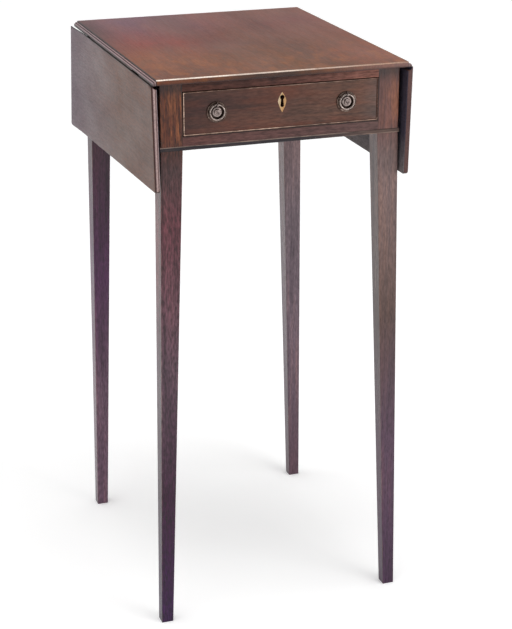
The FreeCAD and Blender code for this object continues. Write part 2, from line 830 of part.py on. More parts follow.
save_pair("drawer_runner", [carriage_strip(opening_low - runner_height, opening_low)])
save_pair("drawer_kicker", [carriage_strip(opening_high, underside).cut(kicker_screws())])
save("kicker_screws", kicker_screws() + [flipped_x(piece) for piece in kicker_screws()])
save("drawer_stops", drawer_stops())

save("drawer_front", [drawer_front()])
save_pair("drawer_side", [drawer_side()])
save("drawer_back", [drawer_back()])
save("drawer_bottom", [drawer_bottom()])
save("drawer_cock_beads", cock_beads())
save("keyhole_escutcheon", [escutcheon_blank().cut(keyhole())])
save("lock_case", [lock_case()])
save("lock_cap", [lock_cap()])
save("lock_bolt", [lock_bolt()])
save("lock_screws", lock_screws())

for side, hand in ((-1, "left"), (1, "right")):
    save("drawer_" + hand + "_handle_plate", [handle_plate(side, drawer_front_thickness)])
    save("drawer_" + hand + "_ring", [handle_ring(side)])
    save("back_" + hand + "_handle_plate", [flipped_y(handle_plate(side, rail_depth))])
    save("back_" + hand + "_ring", [flipped_y(handle_ring(side))])
save("drawer_handle_nuts", [handle_nut(side, drawer_front_thickness) for side in (-1, 1)])
save("back_handle_nuts", [flipped_y(handle_nut(side, rail_depth)) for side in (-1, 1)])
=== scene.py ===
"""A small pembroke table, dressed: old polished mahogany, worn brass, iron fittings and a plain studio."""

import json
import math

import bmesh
import bpy
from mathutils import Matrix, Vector


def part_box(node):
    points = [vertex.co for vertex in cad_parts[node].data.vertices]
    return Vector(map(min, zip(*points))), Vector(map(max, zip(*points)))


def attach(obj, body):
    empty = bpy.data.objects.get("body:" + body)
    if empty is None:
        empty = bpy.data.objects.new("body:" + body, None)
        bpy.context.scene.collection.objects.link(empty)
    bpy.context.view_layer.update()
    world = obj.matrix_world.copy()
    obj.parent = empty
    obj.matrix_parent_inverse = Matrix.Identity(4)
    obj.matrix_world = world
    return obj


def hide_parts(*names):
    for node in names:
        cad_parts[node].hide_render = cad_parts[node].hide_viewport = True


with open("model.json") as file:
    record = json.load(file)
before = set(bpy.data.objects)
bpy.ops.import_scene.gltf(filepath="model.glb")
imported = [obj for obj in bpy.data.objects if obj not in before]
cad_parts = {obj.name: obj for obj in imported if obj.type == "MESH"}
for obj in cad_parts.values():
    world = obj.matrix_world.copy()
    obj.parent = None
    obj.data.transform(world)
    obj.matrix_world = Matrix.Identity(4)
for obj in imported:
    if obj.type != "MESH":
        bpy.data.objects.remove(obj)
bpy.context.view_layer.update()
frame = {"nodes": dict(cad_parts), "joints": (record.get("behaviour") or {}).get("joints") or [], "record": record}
nodes = frame["nodes"]
slot_of = {part["node"]: part["material_slot"] for part in frame["record"]["subparts"]}
joints = {joint["name"]: joint for joint in frame["joints"]}
x_axis, y_axis, z_axis = 0, 1, 2
sideways = Vector((1, 0, 0))
upward = Vector((0, 0, 1))

# Places worked out from the CAD pieces
top_low, top_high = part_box("top_board")
joint_x = joints["right_flap_hinge"]["pos_m"][x_axis]
joint_z = joints["right_flap_hinge"]["pos_m"][z_axis]
round_reach = top_high.x - joint_x          # the quarter round of the rule joint
drawer_low, drawer_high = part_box("drawer_front")
front_face = drawer_low.y
board_thickness = top_high.z - top_low.z
flap_lean = math.tan(math.radians(joints["left_flap_hinge"]["range_deg"][1] - 90))
back_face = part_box("back_rail")[1].y

# Camera, fitted to the photograph
image_height = 629
focal_pixels = 1697.25
sensor_size = 36.0
camera_place = Vector((-0.67197, -2.03107, 1.13765))
camera_yaw = math.radians(19.0688)          # from +Y towards +X
camera_pitch = math.radians(-20.4705)

# Studio
floor_half = 40.0
floor_drop = 0.0002
floor_shown = (0.97, 0.97, 0.97, 1.0)
floor_bounce = (0.55, 0.54, 0.53, 1.0)
floor_glow = 0.22                           # makes the floor look white round the shadow
floor_rough = 0.9
white = (1.0, 1.0, 1.0, 1.0)
sun_strength = 1.0
sun_angle = math.radians(38)
sun_lean = math.radians(1)                  # towards the front
sun_side = math.radians(8)                  # towards the left
strip_length = 1.1
strip_width = 0.3
strip_power = 9.5
strip_place = Vector((0.5, -0.62, 2.5))
strip_target = Vector((0.0, -0.19, 0.71))
fill_size = 0.8
fill_power = 7.0
fill_place = Vector((1.1, -1.5, 0.75))
fill_target = Vector((0.0, 0.0, 0.45))
dome_strength = 0.5                         # the light that the backdrop and ceiling give
horizon_strength = 1.0                      # how they look
zenith_strength = 0.3
horizon_share = 0.02                        # rise of the view, where the backdrop starts to fade
zenith_share = 0.22                         # and where it has faded

# The left flap has moved with age, by these lengths at its far corners
flap_twist = 0.0082                         # its low back corner stands out
flap_curl = 0.003                           # its back end curls out from the joint, behind the hinge
flap_narrowing = 0.0054                     # its front corner is higher
flap_widening = 0.0019                      # and its back corner lower
flap_rows = 24
flap_weld = 1e-6                            # corners closer than this are one

# Wear, grime, and painted light and shade
edge_wear_and_highlight = 0.0022                          # how far the pale front edge, wear and painted highlight, runs onto the top
joint_gap_shade = 0.0016                        # painted shade in the gap along the joint, down the flaps
joint_shade = 0.032                         # greyed on the top, beside the left joint
paler_low_height = 0.05                          # paler inside the flaps, above their low edges
drawer_opening_shade = 0.0018                       # painted shade round the drawer's opening
drawer_band = 0.026                         # at both ends of the drawer front
bead_fade = 0.004                           # beside the pale line of the cock bead
stain_reach = 0.008                         # of a dark spot on the rail above the drawer

# Handles; the rest of their sizes come from the CAD pieces
rim_bead = 0.00055
plate_floor = 0.0007
boss_bead = 0.0006
boss_radius = 0.0058
boss_height = 0.0022
button_radius = 0.0038
button_height = 0.0042
eye_wire = 0.00095
eye_gap = 0.0003
stem_radius = 0.0011
stem_foot = 0.0022
shank_radius = 0.002
dish_share = 0.3                            # of the button's radius
collar_share = 1.3                          # height of the stem's foot against the plate's floor
ring_fine_share = 0.86                      # a worn ring against its CAD piece
ring_swell_share = 0.22                     # how much thicker a ring is at its foot
turned_steps = 96                           # round a plate or along a ring
wire_steps = 20                             # round a wire
bead_steps = 10                             # along the arcs of a plate's profile
boss_steps = 8
cove_steps = 6

# Edges of modelled pieces stay sharp where they turn by more than this
flap_crease = math.radians(35)
plate_crease = math.radians(40)
ring_crease = math.radians(60)

# Grain of the wood: sizes across it and along it
sway_grain = (0.09, 0.27)                   # slow bends
sway = 0.012                                # how far they go
fine_grain = (0.0011, 0.05)
pore_grain = (0.0007, 0.009)
fleck_grain = (0.0019, 0.008)
patch_grain = (0.05, 0.1)
block_grain = (0.003, 0.035)                # orange streaks beside the drawer

# Width of the streaks in each wood
plain_streak = 0.006
top_streak = 0.009
flap_streak = 0.008
leg_streak = 0.0045
rail_streak = 0.005
cock_bead_streak = 0.003
streak_shares = (1, 45)                     # a streak across and along the grain, against that width
band_shares = (5, 70)                       # and a broad band

# Spots and rubbed places: sizes along x, y and z
top_mottle = (0.011, 0.02, 0.02)
front_edge_wear_and_highlight_spots = (0.03, 0.006, 0.006)
leg_rub = (0.006, 0.006, 0.03)
drawer_blotch = (0.09, 0.03, 0.02)
cock_bead_wear_and_highlight = (0.009, 0.009, 0.009)
frieze_bead_rub = (0.02, 0.006, 0.004)
bare_stain = (0.04, 0.04, 0.04)
inlay_grain = (0.0008, 0.004, 0.006)
plate_mottle = (0.003, 0.003, 0.003)
ring_mottle = (0.0035, 0.0035, 0.0035)
metal_speck = (0.0008, 0.0008, 0.0008)
iron_mottle = (0.005, 0.005, 0.005)

# Depth of the fine relief
wood_relief = 0.00006
frieze_bead_relief = 0.00005
inlay_relief = 0.00004
metal_relief = 0.00004
iron_relief = 0.00008

# Noise: its usual range, and how far it moves for each seed
noise_low = 0.3
noise_high = 0.7
seed_step = (7.31, 3.17, 5.71)
bare_seed_gap = 1.7                         # between the seeds of two pieces of bare wood


def seen(red, green, blue):
    """A colour as it looks on a screen, from 0 to 255, as the linear colour that shaders take."""
    def linear(value):
        value = value / 255
        return value / 12.92 if value <= 0.04045 else ((value + 0.055) / 1.055) ** 2.4
    return (linear(red), linear(green), linear(blue), 1.0)


class Shader:
    """A material being made: adds nodes and joins their sockets."""

    def __init__(self, name):
        self.material = bpy.data.materials.new(name)
        self.material.use_nodes = True
        self.tree = self.material.node_tree
        self.surface = self.tree.nodes["Principled BSDF"]
        coordinates = self.add("TexCoord")
        self.place = coordinates.outputs["Object"]
        self.x, self.y, self.z = self.add("SeparateXYZ", {"Vector": self.place}).outputs
        self.facing = self.add("SeparateXYZ", {"Vector": coordinates.outputs["Normal"]}).outputs

    def add(self, kind, inputs=None, **settings):
        """A new node; inputs gives its sockets values, or the sockets that feed them."""
        node = self.tree.nodes.new("ShaderNode" + kind)
        for key, value in settings.items():
            setattr(node, key, value)
        for key, value in (inputs or {}).items():
            self.feed(node.inputs[key], value)
        return node

    def feed(self, socket, value):
        """Joins a socket to another, or gives it a plain value."""
        if isinstance(value, bpy.types.NodeSocket):
            self.tree.links.new(value, socket)
        else:
            socket.default_value = value

    def set(self, **values):
        """Feeds the surface; names have _ for spaces."""
        for key, value in values.items():
            self.feed(self.surface.inputs[key.replace("_", " ")], value)

    def noise(self, vector, size, seed, detail=3.0, roughness=0.55):
        """Soft noise with features of the given size along x, y and z."""
        scale = [1 / length for length in size]
        shift = [seed * step for step in seed_step]
        place = self.add("Mapping", {"Vector": vector, "Location": shift, "Scale": scale}).outputs["Vector"]
        return self.add("TexNoise", {"Vector": place, "Scale": 1.0, "Detail": detail,
                                     "Roughness": roughness}).outputs

    def span(self, value, low, high, to_low=0.0, to_high=1.0):
        """Maps low..high to another range and stops there."""
        return self.add("MapRange", {"Value": value, "From Min": low, "From Max": high,
                                     "To Min": to_low, "To Max": to_high}).outputs["Result"]

    def spread(self, noise, to_low, to_high):
        """Maps the usual range of a noise to another range."""
        return self.span(noise, noise_low, noise_high, to_low, to_high)

    def maths(self, operation, first, second=0.0):
        """One sum on two numbers."""
        node = self.add("Math", operation=operation)
        self.feed(node.inputs[0], first)
        self.feed(node.inputs[1], second)
        return node.outputs[0]

    def times(self, *values):
        """Several numbers multiplied."""
        product = values[0]
        for value in values[1:]:
            product = self.maths("MULTIPLY", product, value)
        return product

    def near(self, value, middle, core, reach):
        """1 within core of the middle, falling to 0 at reach."""
        distance = self.maths("ABSOLUTE", self.maths("SUBTRACT", value, middle))
        return self.span(distance, reach, core)

    def pool(self, middle, reach):
        """1 at a point, falling to 0 at reach from it."""
        distance = self.add("VectorMath", {0: self.place, 1: middle}, operation="DISTANCE").outputs["Value"]
        return self.span(distance, reach, 0.0)

    def mix(self, share, first, second, kind="MIX"):
        """Two colours mixed."""
        node = self.add("Mix", data_type="RGBA", blend_type=kind)
        colour_sockets = [socket for socket in node.inputs if socket.type == "RGBA"]
        self.feed(node.inputs[0], share)
        self.feed(colour_sockets[0], first)
        self.feed(colour_sockets[1], second)
        return [socket for socket in node.outputs if socket.type == "RGBA"][0]

    def ramp(self, value, stops):
        """A run of colours: pairs of place and colour."""
        node = self.add("ValToRGB", {"Fac": value})
        band = node.color_ramp.elements
        while len(band) < len(stops):
            band.new(1.0)
        for element, (place, colour) in zip(band, stops):
            element.position = place
            element.color = colour
        return node.outputs["Color"]

    def arris(self, soft=0.03, full=0.2):
        """1 where the surface turns between two faces, as on a softened edge, and 0 on the faces."""
        largest = self.maths("ABSOLUTE", self.facing["X"])
        for axis in ("Y", "Z"):
            largest = self.maths("MAXIMUM", largest, self.maths("ABSOLUTE", self.facing[axis]))
        return self.span(largest, 1 - soft, 1 - full)

    def bump(self, height, depth):
        """Small relief of the given depth."""
        node = self.add("Bump", {"Height": height, "Strength": 1.0, "Distance": depth})
        self.set(Normal=node.outputs["Normal"])


def lengthwise(grain, across, along):
    """The size of a feature that is long in the grain's direction."""
    size = [across] * 3
    size[grain] = along
    return size


# Wood: a base colour is multiplied by these at the dark streaks, between them, and at the light ones
streak_dark = (0.42, 0.40, 0.44, 1.0)
streak_plain = white
streak_light = (1.5, 1.3, 1.1, 1.0)
fine_shares = (0.16, 0.12)                  # how far the fine grain darkens and lightens it all
fleck_shares = (0.55, 0.5)                  # and the flecks
pore_share = 0.4                            # of grime in the pores

# Tones that lie on the wood
# grime in pores and stains, also used as painted shade in joints, gaps and under the top
grime_and_shade = seen(44, 34, 34)
# grimy edges of the flaps, also painted shade in the gap of the joint
seam_grime_and_shade = seen(30, 22, 24)
underside_tone = seen(66, 61, 70)
# bare wood inside the flaps, darkened and blued as painted shade and reflection
inside_tone = seen(65, 66, 84)
paler_low_tone = seen(140, 136, 138)


class Board(Shader):
    """Old wood being made, with its grain along one axis.

    streak is the width of its streaks, figure the share of broad bands among them, depth how strong
    both are, and keen how plain the finest grain is.
    """

    def __init__(self, name, grain, seed, streak=plain_streak, figure=0.5, depth=1.0, keen=1.0):
        super().__init__(name)
        self.seed = seed
        self.keen = keen
        bend = self.noise(self.place, lengthwise(grain, *sway_grain), seed, 2.0)["Color"]
        centred = self.add("VectorMath", {0: bend, 1: (0.5, 0.5, 0.5)}, operation="SUBTRACT").outputs[0]
        swayed = self.add("VectorMath", {0: centred, 1: (sway, sway, sway), 2: self.place},
                          operation="MULTIPLY_ADD").outputs[0]
        band_size = lengthwise(grain, *[share * streak for share in band_shares])
        streak_size = lengthwise(grain, *[share * streak for share in streak_shares])
        bands = self.noise(swayed, band_size, seed + 1, 2.0)["Fac"]
        streaks = self.noise(swayed, streak_size, seed + 2, 5.0, 0.62)["Fac"]
        self.fine = self.noise(swayed, lengthwise(grain, *fine_grain), seed + 3, 2.0)["Fac"]
        pores = self.noise(swayed, lengthwise(grain, *pore_grain), seed + 4, 1.0)["Fac"]
        self.pits = self.span(pores, 0.62, 0.7)
        self.flecks = self.noise(swayed, lengthwise(grain, *fleck_grain), seed + 7, 2.0)["Fac"]
        self.patches = self.noise(self.place, lengthwise(grain, *patch_grain), seed + 5, 3.0)["Fac"]
        mixed = self.maths("ADD", self.times(bands, figure), self.times(streaks, 1 - figure))
        width = 0.2 / depth
        stops = ((0.5 - width, streak_dark), (0.5, streak_plain), (0.5 + width, streak_light))
        self.figure = self.ramp(mixed, stops)

    def paint(self, base):
        """The base colour, shaded by the grain."""
        self.colour = self.mix(1.0, base, self.figure, "MULTIPLY")
        self.grain_shade(self.fine, fine_shares)
        self.layer(self.times(self.pits, pore_share * self.keen), grime_and_shade)

    def shade(self, amount):
        """Multiplies the colour by a number."""
        grey = self.add("CombineColor", {"Red": amount, "Green": amount, "Blue": amount}).outputs[0]
        self.colour = self.mix(1.0, self.colour, grey, "MULTIPLY")

    def grain_shade(self, noise, shares):
        """Darkens and lightens the colour with a fine noise."""
        dark_share, light_share = shares
        self.shade(self.spread(noise, 1 - dark_share * self.keen, 1 + light_share * self.keen))

    def layer(self, mask, tone):
        """A second colour where the mask is 1."""
        self.colour = self.mix(mask, self.colour, tone)

    def broken_pattern(self, size, low=0.4, high=0.6):
        """A broken pattern, for wear, spots and gaps in painted highlights."""
        return self.span(self.noise(self.place, size, self.seed + 6, 4.0)["Fac"], low, high)

    def polish(self, low_rough=0.3, high_rough=0.46, level=0.25, bare=0.0):
        """Ends the material: its colour, its uneven polish, none where bare is 1, and its fine relief."""
        self.grain_shade(self.flecks, fleck_shares)
        dull = self.maths("ADD", self.times(self.patches, 0.5), self.times(self.fine, 0.5))
        rough = self.span(dull, 0.35, 0.65, low_rough, high_rough)
        self.set(Base_Color=self.colour, Roughness=self.maths("MAXIMUM", rough, bare))
        self.set(Specular_IOR_Level=level)
        self.bump(self.maths("SUBTRACT", self.times(self.fine, 0.3), self.pits), wood_relief * self.keen)
        return self.material


# Colours of the top: a plain tone, and soft pools where the polish has reddened, darkened or paled,
# with one mauve pool at the back left that is painted sheen. A pool has its place, as shares of the half
# width and half depth, its reach, as a share of the half width, its tone and its strength
top_tone = seen(124, 69, 47)
top_pool_shares = (
    ((-0.06, -0.05), 0.89, seen(86, 55, 47), 0.85),
    ((-0.67, 0.1), 0.8, seen(148, 62, 54), 0.75),
    ((0.41, 0.05), 0.51, seen(146, 92, 72), 0.6),
    ((0.0, -0.88), 0.96, seen(122, 77, 40), 0.6),
    # mauve at the back left: painted sheen
    ((-0.64, 0.93), 1.08, seen(114, 84, 104), 0.85),
    ((-0.8, -0.47), 0.57, seen(158, 86, 44), 0.8),
    ((0.76, 0.62), 0.96, seen(128, 79, 80), 0.6),
    ((0.89, -0.67), 0.57, seen(150, 84, 66), 0.6),
)
golden_tone = seen(156, 92, 44)             # spots on the front half
olive_tone = seen(98, 68, 42)
joint_tone = seen(84, 58, 58)
# painted highlight on the rule joints
joint_highlight = seen(200, 172, 176)
# the pale front edge: wear and painted highlight, brighter at the left
pale_edge_wear_and_highlight = seen(255, 240, 226)
pale_edge_wear_and_highlight_right = seen(176, 142, 122)


def pooled_colour(board):
    """The pools of the top, one a painted sheen, the spots on its front half and the grey beside its left joint.
    """
    for (x_share, y_share), reach_share, tone, strength in top_pool_shares:
        middle = Vector((x_share * joint_x, y_share * top_high.y, top_high.z))
        pool = board.pool(middle, reach_share * joint_x)
        soft = board.times(pool, board.spread(board.patches, 0.5, 1.2), strength)
        board.layer(soft, board.mix(1.0, tone, board.figure, "MULTIPLY"))
    front_half = board.span(board.y, 0.0, 0.67 * top_low.y)
    board.layer(board.times(front_half, board.broken_pattern(top_mottle, 0.5, 0.66), 0.5), golden_tone)
    board.layer(board.times(front_half, board.broken_pattern(top_mottle, 0.5, 0.34), 0.45), olive_tone)
    beside = board.span(board.x, joint_shade - joint_x, -joint_x)
    backward = board.span(board.y, 0.52 * top_low.y, 0.52 * top_high.y, 0.1, 1.0)
    board.layer(board.times(beside, backward, board.spread(board.patches, 0.5, 1.0)), joint_tone)


def joint_lines(board, out):
    """Painted highlight and shade lines along the rule joints; out is how far a point lies outside the joint's
    axis.
    """
    highlight_shares = (0.26, 0.8)
    shade_shares = (0.0, 0.56, 1.0)
    for share in highlight_shares:
        line = board.near(out, share * round_reach, 0.1 * round_reach, 0.26 * round_reach)
        board.layer(board.times(line, 0.75), joint_highlight)
    # painted shade in the joint's corners and gap
    for share in shade_shares:
        line = board.near(out, share * round_reach, 0.08 * round_reach, 0.19 * round_reach)
        board.layer(board.times(line, 0.9), grime_and_shade)


def front_edge_wear_and_painted_light(board, out):
    """The front edge: darker in the middle, painted shade below, worn pale with painted highlight along its top.
    """
    front = board.span(board.facing["Y"], -0.5, -0.9)
    middle = board.near(board.x, -0.1 * joint_x, 0.13 * joint_x, 0.64 * joint_x)
    board.layer(board.times(front, middle, 0.75), grime_and_shade)
    right = board.span(board.x, 0.25 * joint_x, 0.9 * joint_x)
    board.layer(board.times(front, right, 0.6), seen(140, 112, 108))
    # painted shade on the lower half of the rounded edge
    low_half = board.span(board.z, top_high.z - board_thickness / 2, top_low.z + board_thickness / 8)
    board.layer(board.times(front, low_half, 0.6), grime_and_shade)
    pale = board.mix(board.span(board.x, -0.57 * joint_x, 0.76 * joint_x), pale_edge_wear_and_highlight, pale_edge_wear_and_highlight_right)
    # the worn band, also a painted highlight
    worn = board.span(board.y, top_low.y + edge_wear_and_highlight, top_low.y + 0.7 * edge_wear_and_highlight)
    inside = board.span(out, 0.0, -0.1 * round_reach)
    above = board.span(board.facing["Z"], 0.15, 0.35)
    broken = board.span(board.broken_pattern(front_edge_wear_and_highlight_spots, 0.3, 0.55), 0.0, 1.0, 0.4, 1.0)
    board.layer(board.times(worn, inside, above, broken), pale)


def top_board():
    """The top: pools with a painted sheen, painted joint lines, and a front edge of wear and painted highlight."""
    board = Board("mahogany_top", y_axis, 3.1, streak=top_streak, figure=0.65, depth=0.5, keen=0.35)
    board.paint(top_tone)
    pooled_colour(board)
    out = board.maths("SUBTRACT", board.maths("ABSOLUTE", board.x), joint_x)
    joint_lines(board, out)
    front_edge_wear_and_painted_light(board, out)
    board.layer(board.times(board.span(board.facing["Z"], -0.5, -0.8), 0.85), underside_tone)
    return board.polish(0.3, 0.42, level=0.3)


def flap(side):
    """A flap: greyed outside by a painted sheen at the back, dull and dark inside, and grimy along its softened
    edges.
    """
    hand = "left" if side < 0 else "right"
    low_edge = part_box(hand + "_flap")[0].z
    board = Board("mahogany_" + hand + "_flap", y_axis, 17.0 + 5 * side,
                  streak=flap_streak, figure=0.6, depth=0.45, keen=0.5)
    board.paint(seen(109, 67, 47) if side < 0 else seen(120, 80, 70))
    # painted sheen, greyer towards the back
    back_sheen = board.span(board.y, 0.26 * top_low.y, 1.04 * top_high.y)
    board.layer(board.times(back_sheen, 0.8), seen(108, 89, 108))
    front_edge = board.span(board.facing["Y"], -0.7, -0.95)
    board.layer(board.times(front_edge, 0.8), seen(84, 60, 66) if side < 0 else seen(84, 58, 58))
    hang = board.maths("SUBTRACT", joint_z, board.z)
    outer_x = board.maths("SUBTRACT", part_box("right_flap")[1].x, board.times(hang, flap_lean))
    depth = board.maths("SUBTRACT", outer_x, board.times(board.x, side))
    # painted highlights along the left flap's front edge
    highlight_shares = (0.46, 0.94) if side < 0 else ()
    for share in highlight_shares:
        line = board.near(depth, share * board_thickness, 0.1 * board_thickness, 0.22 * board_thickness)
        board.layer(board.times(front_edge, line, 0.9), seen(204, 176, 172))
    board.layer(board.times(board.arris(), board.spread(board.patches, 0.4, 0.9)), seam_grime_and_shade)
    # painted shade in the gap of the joint
    board.layer(board.times(board.span(hang, joint_gap_shade, 0.6 * joint_gap_shade), 0.9), seam_grime_and_shade)
    # inside: dark and blue as painted shade and reflection, paler near the low edge
    inner = board.span(board.maths("MULTIPLY", board.facing["X"], -side), 0.3, 0.7)
    low_share = board.span(board.z, low_edge + paler_low_height, low_edge)
    board.layer(board.times(inner, 0.9), board.mix(low_share, inside_tone, paler_low_tone))
    return board.polish(bare=board.times(inner, 0.72))


# Colours of the legs from foot to frieze, and of the square blocks beside the drawer
leg_runs = {
    "front_left_leg": ((0.0, seen(49, 12, 66)), (0.25, seen(54, 12, 47)), (0.5, seen(104, 77, 90)),
                       (0.76, seen(120, 68, 76)), (0.85, seen(102, 71, 71)), (0.9, seen(108, 56, 37))),
    "front_right_leg": ((0.0, seen(79, 49, 79)), (0.3, seen(93, 68, 88)), (0.55, seen(86, 68, 66)),
                        (0.84, seen(139, 115, 113)), (0.9, seen(122, 81, 74))),
    "back_left_leg": ((0.0, seen(117, 88, 108)), (0.25, seen(121, 92, 111)), (0.5, seen(90, 46, 88)),
                      (0.85, seen(74, 46, 53)), (0.9, seen(77, 47, 49))),
    "back_right_leg": ((0.0, seen(100, 74, 88)), (0.3, seen(123, 102, 115)), (0.6, seen(130, 112, 120)),
                       (0.85, seen(151, 121, 119)), (0.9, seen(127, 92, 88))),
}
leg_keen = {"front_left_leg": 1.1, "front_right_leg": 0.55, "back_left_leg": 0.7, "back_right_leg": 0.55}


def leg(node):
    """A leg: its own run of colour from foot to frieze, painted shade at its top, and dark edges worn pale in
    places.
    """
    low_corner, high_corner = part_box(node)
    high = high_corner.z
    inner_x = min(abs(low_corner.x), abs(high_corner.x))
    seed = 30.0 + 3 * sorted(leg_runs).index(node)
    board = Board("mahogany_" + node, z_axis, seed, streak=leg_streak, depth=1.1, keen=leg_keen[node])
    board.paint(board.ramp(board.span(board.z, 0.0, high), leg_runs[node]))
    block = board.span(board.z, 0.88 * high, 0.91 * high)
    streaks = board.noise(board.place, lengthwise(z_axis, *block_grain), seed + 9, 4.0)["Fac"]
    to_right = board.span(board.x, low_corner.x, high_corner.x, 0.1, 0.8)
    board.layer(board.times(block, board.span(streaks, 0.44, 0.64), to_right), seen(170, 104, 66))
    # painted shade under the top
    board.layer(board.times(board.span(board.z, 0.972 * high, 0.99 * high), 0.7), grime_and_shade)
    # darker about the foot of the frieze
    under_frieze = board.near(board.z, 0.85 * high, 0.02 * high, 0.06 * high)
    board.layer(board.times(under_frieze, board.span(board.patches, 0.35, 0.65, 0.1, 0.45)), grime_and_shade)
    rubbed = board.times(board.arris(), board.broken_pattern(leg_rub))
    board.layer(board.times(rubbed, 0.5), seen(168, 136, 118))
    # painted shade beside the drawer's opening
    across = board.maths("ABSOLUTE", board.x)
    beside = board.span(across, inner_x + drawer_opening_shade, inner_x + drawer_opening_shade / 2)
    board.layer(board.times(block, beside, 0.75), grime_and_shade)
    board.layer(board.times(board.span(board.facing["Z"], -0.5, -0.8), 0.8), grime_and_shade)
    return board.polish(0.22, 0.38, level=0.35)


def rail(node, seed, left_tone, right_tone, keen=0.7):
    """A rail or drawer front, darker towards one end."""
    low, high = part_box(node)
    board = Board("mahogany_" + node, x_axis, seed, streak=rail_streak, depth=1.05, keen=keen)
    across = board.maths("ADD", board.span(board.x, low.x, high.x, 0.0, 0.8),
                         board.spread(board.patches, -0.1, 0.3))
    board.paint(board.mix(across, left_tone, right_tone))
    return board


def front_top_rail():
    """The rail above the drawer, with painted shade under the edge of the top, and one dark stain."""
    low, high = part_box("front_top_rail")
    height = high.z - low.z
    board = rail("front_top_rail", 43.0, seen(26, 12, 16), seen(158, 107, 94))
    shaded = board.span(board.z, low.z + 0.4 * height, high.z)
    leftward = board.span(board.x, drawer_high.x / 4, drawer_high.x, 0.8, 0.1)
    board.layer(board.times(shaded, leftward), grime_and_shade)
    stain = board.pool(Vector((drawer_low.x / 10, front_face, high.z - 0.35 * height)), stain_reach)
    board.layer(board.times(stain, 0.8), grime_and_shade)
    return board.polish(0.32, 0.5, level=0.14)


def front_bottom_rail():
    """The rail below the drawer, with painted shade along the drawer's opening."""
    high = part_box("front_bottom_rail")[1]
    board = rail("front_bottom_rail", 59.0, seen(104, 66, 62), seen(106, 80, 77))
    # painted shade along the drawer's opening
    opening = board.span(board.z, high.z - drawer_opening_shade, high.z - drawer_opening_shade / 2)
    board.layer(board.times(opening, 0.75), grime_and_shade)
    return board.polish(0.32, 0.5)


def drawer_front():
    """The drawer front: blotched polish, darker at its left end and greyer at its right one."""
    board = rail("drawer_front", 47.0, seen(86, 54, 49), seen(114, 81, 67), keen=0.5)
    board.layer(board.times(board.broken_pattern(drawer_blotch, 0.48, 0.66), 0.5), seen(126, 68, 48))
    board.layer(board.times(board.broken_pattern(drawer_blotch, 0.5, 0.34), 0.5), seen(60, 47, 42))
    patchy = board.span(board.patches, 0.35, 0.65, 0.5, 1.0)
    left_end = board.span(board.x, drawer_low.x + drawer_band, drawer_low.x)
    right_end = board.span(board.x, drawer_high.x - drawer_band, drawer_high.x)
    board.layer(board.times(left_end, patchy, 0.6), grime_and_shade)
    board.layer(board.times(right_end, patchy, 0.6), seen(106, 96, 94))
    return board.polish(0.3, 0.46)


def cock_beads():
    """Thin beads: dark; a broken pale line of wear and painted highlight on the nose, palest at the left and foot.
    """
    board = Board("mahogany_cock_beads", x_axis, 53.0, streak=cock_bead_streak, depth=0.8)
    board.paint(seen(78, 48, 38))
    nose = board.span(board.maths("ABSOLUTE", board.facing["Y"]), 0.8, 0.97)
    left = board.span(board.x, drawer_low.x + bead_fade, drawer_low.x + bead_fade / 2)
    foot = board.span(board.z, drawer_low.z + bead_fade, drawer_low.z + bead_fade / 2)
    foot = board.times(foot, board.span(board.x, drawer_low.x / 4, drawer_high.x / 4, 0.8, 0.4))
    elsewhere = board.span(board.x, drawer_high.x - bead_fade / 2, drawer_high.x - bead_fade, 0.05, 0.3)
    kept = board.maths("MAXIMUM", left, board.maths("MAXIMUM", foot, elsewhere))
    broken = board.span(board.broken_pattern(cock_bead_wear_and_highlight), 0.0, 1.0, 0.5, 1.0)
    # the pale line: wear and painted highlight
    board.layer(board.times(nose, kept, broken), seen(250, 214, 192))
    return board.polish(0.3, 0.45)


def bare_wood(node, seed):
    """Unpolished wood inside the table, along the longest side of the piece."""
    low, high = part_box(node)
    size = high - low
    grain = max(range(3), key=lambda axis: size[axis])
    board = Board("bare_" + node, grain, seed, depth=0.9, keen=0.6)
    board.paint(seen(128, 94, 62))
    board.layer(board.times(board.broken_pattern(bare_stain), 0.3), seen(84, 60, 42))
    return board.polish(0.6, 0.8)


def ebonised():
    """Black stained wood, worn brown at the right; a painted highlight runs along its upper edge, then its lower.
    """
    low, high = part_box("front_frieze_bead")
    shader = Shader("ebonised_bead")
    broken_pattern = shader.noise(shader.place, frieze_bead_rub, 31, 4.0)["Fac"]
    black = shader.ramp(broken_pattern, ((0.3, seen(40, 36, 42)), (0.55, seen(58, 52, 56)),
                               (0.8, seen(84, 70, 64))))
    brown = shader.ramp(broken_pattern, ((0.3, seen(78, 62, 58)), (0.55, seen(100, 80, 74)),
                               (0.8, seen(118, 98, 88))))
    height = high.z - low.z
    right = shader.span(shader.x, drawer_high.x / 4, drawer_high.x)
    colour = shader.mix(right, black, brown)
    upper = shader.span(shader.z, high.z - 0.22 * height, high.z - 0.06 * height)
    colour = shader.mix(shader.times(upper, right, 0.6), colour, grime_and_shade)
    upper = shader.times(upper, shader.maths("SUBTRACT", 1.0, right))
    lower = shader.times(shader.span(shader.z, low.z + 0.3 * height, low.z + 0.1 * height), right)
    # a painted highlight on the upper edge at the left, the lower at the right
    line = shader.times(shader.maths("ADD", upper, lower), shader.span(broken_pattern, 0.35, 0.6, 0.25, 0.9))
    colour = shader.mix(line, colour, seen(184, 158, 144))
    shader.set(Base_Color=colour, Roughness=shader.spread(broken_pattern, 0.4, 0.6), Specular_IOR_Level=0.2)
    shader.bump(broken_pattern, frieze_bead_relief)
    return shader.material


